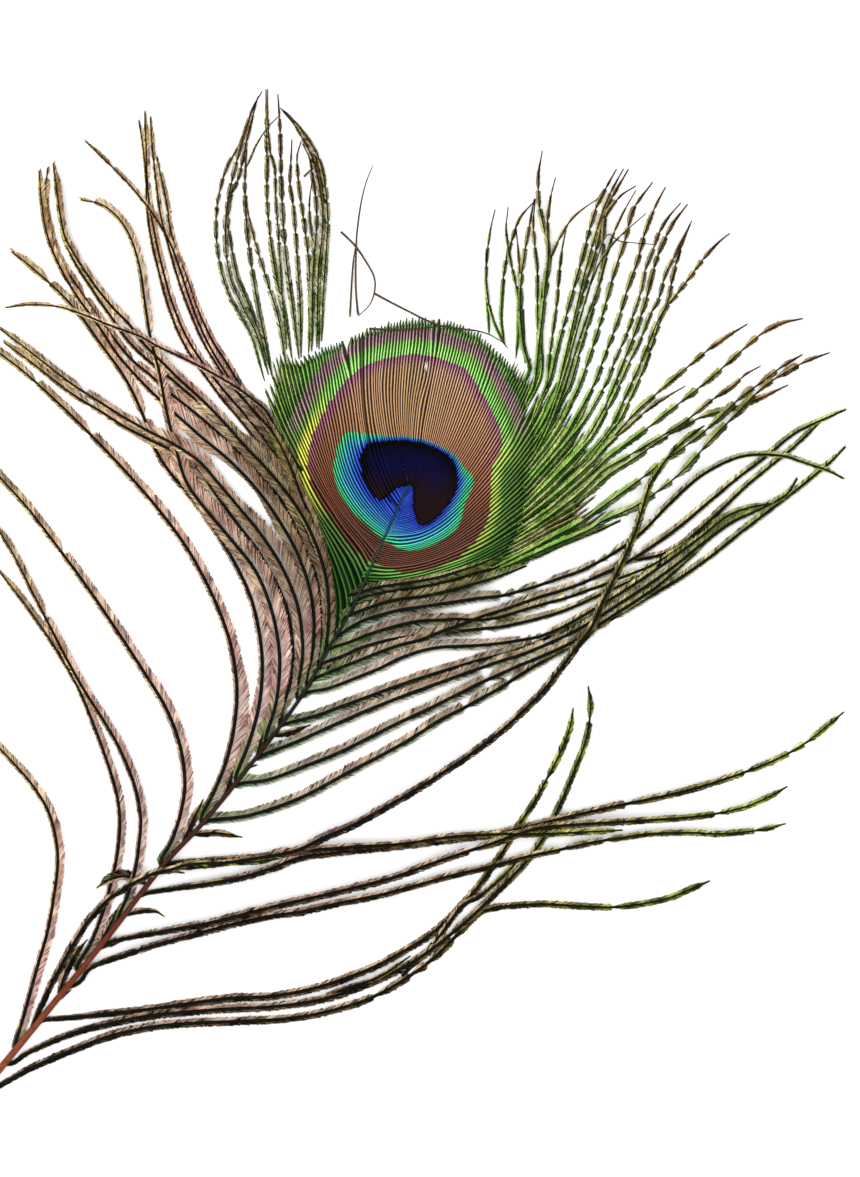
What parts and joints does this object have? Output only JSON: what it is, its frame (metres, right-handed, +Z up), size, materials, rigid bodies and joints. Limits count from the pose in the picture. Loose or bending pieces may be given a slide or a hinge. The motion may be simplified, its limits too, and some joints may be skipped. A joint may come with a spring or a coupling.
{
  "type": "peacock feather",
  "caption": "Peacock eye feather lying flat: a slim quill, a dense round eye in blue and bronze, two pointed tufts above it and long loose barbs fanning out on each side.",
  "frame": {"origin": "middle of the outline, on the surface that the feather lies on", "axes": "+Y up the shaft towards the eye, +X to the feather's right seen from above, +Z up from the surface"},
  "size_m": [0.197, 0.301, 0.0039],
  "materials": {
    "shaft": "satin quill of keratin, straw-coloured at the cut end, red-brown above it and nearly black in the eye",
    "eye_vane": "dense metallic-looking barbs: violet-black kidney, blue and turquoise rim, bronze disc, green and mauve rings",
    "left_barbs": "loose barbs with a dark rib, a yellow-olive fringe and mauve-pink barbules",
    "upper_left_barbs": "loose golden-brown barbs with olive-green tips",
    "left_tuft": "pointed tuft of green and olive barbs with gaps between their barbules",
    "right_tuft": "broad tuft of saturated green barbs with dark ribs",
    "upper_right_barbs": "green barbs that spread to the right of the eye",
    "right_barbs": "long loose barbs: beige and grey-green barbules on a black rib, yellow-green at the tips"
  },
  "bodies": {
    "root": {"shaft": "shaft", "eye_vane": "eye_vane", "barb_left_01": "left_barbs", "barb_left_02": "left_barbs", "barb_left_03": "left_barbs", "barb_left_04": "left_barbs", "barb_left_05": "left_barbs", "barb_left_06": "left_barbs", "barb_left_07": "left_barbs", "barb_left_08": "left_barbs", "barb_left_09": "left_barbs", "barb_left_10": "left_barbs", "barb_left_11": "left_barbs", "barb_left_12": "left_barbs", "barb_left_13": "left_barbs", "barb_upper_left_01": "upper_left_barbs", "barb_upper_left_02": "upper_left_barbs", "barb_upper_left_03": "upper_left_barbs", "tuft_left_01": "left_tuft", "tuft_left_02": "left_tuft", "tuft_left_03": "left_tuft", "tuft_left_04": "left_tuft", "tuft_left_05": "left_tuft", "tuft_left_06": "left_tuft", "tuft_left_07": "left_tuft", "tuft_left_08": "left_tuft", "tuft_right_01": "right_tuft", "tuft_right_02": "right_tuft", "tuft_right_03": "right_tuft", "tuft_right_04": "right_tuft", "tuft_right_05": "right_tuft", "tuft_right_06": "right_tuft", "tuft_right_07": "right_tuft", "tuft_right_08": "right_tuft", "tuft_right_09": "right_tuft", "tuft_right_10": "right_tuft", "barb_upper_right_01": "upper_right_barbs", "barb_upper_right_02": "upper_right_barbs", "barb_upper_right_03": "upper_right_barbs", "barb_upper_right_04": "upper_right_barbs", "barb_upper_right_05": "upper_right_barbs", "barb_right_01": "right_barbs", "barb_right_02": "right_barbs", "barb_right_03": "right_barbs", "barb_right_04": "right_barbs", "barb_right_05": "right_barbs", "barb_right_06": "right_barbs", "barb_right_07": "right_barbs", "barb_right_08": "right_barbs", "barb_right_09": "right_barbs", "barb_right_10": "right_barbs", "barb_right_11": "right_barbs", "barb_right_12": "right_barbs", "barb_right_13": "right_barbs", "barb_right_14": "right_barbs"}
  },
  "joints": []
}
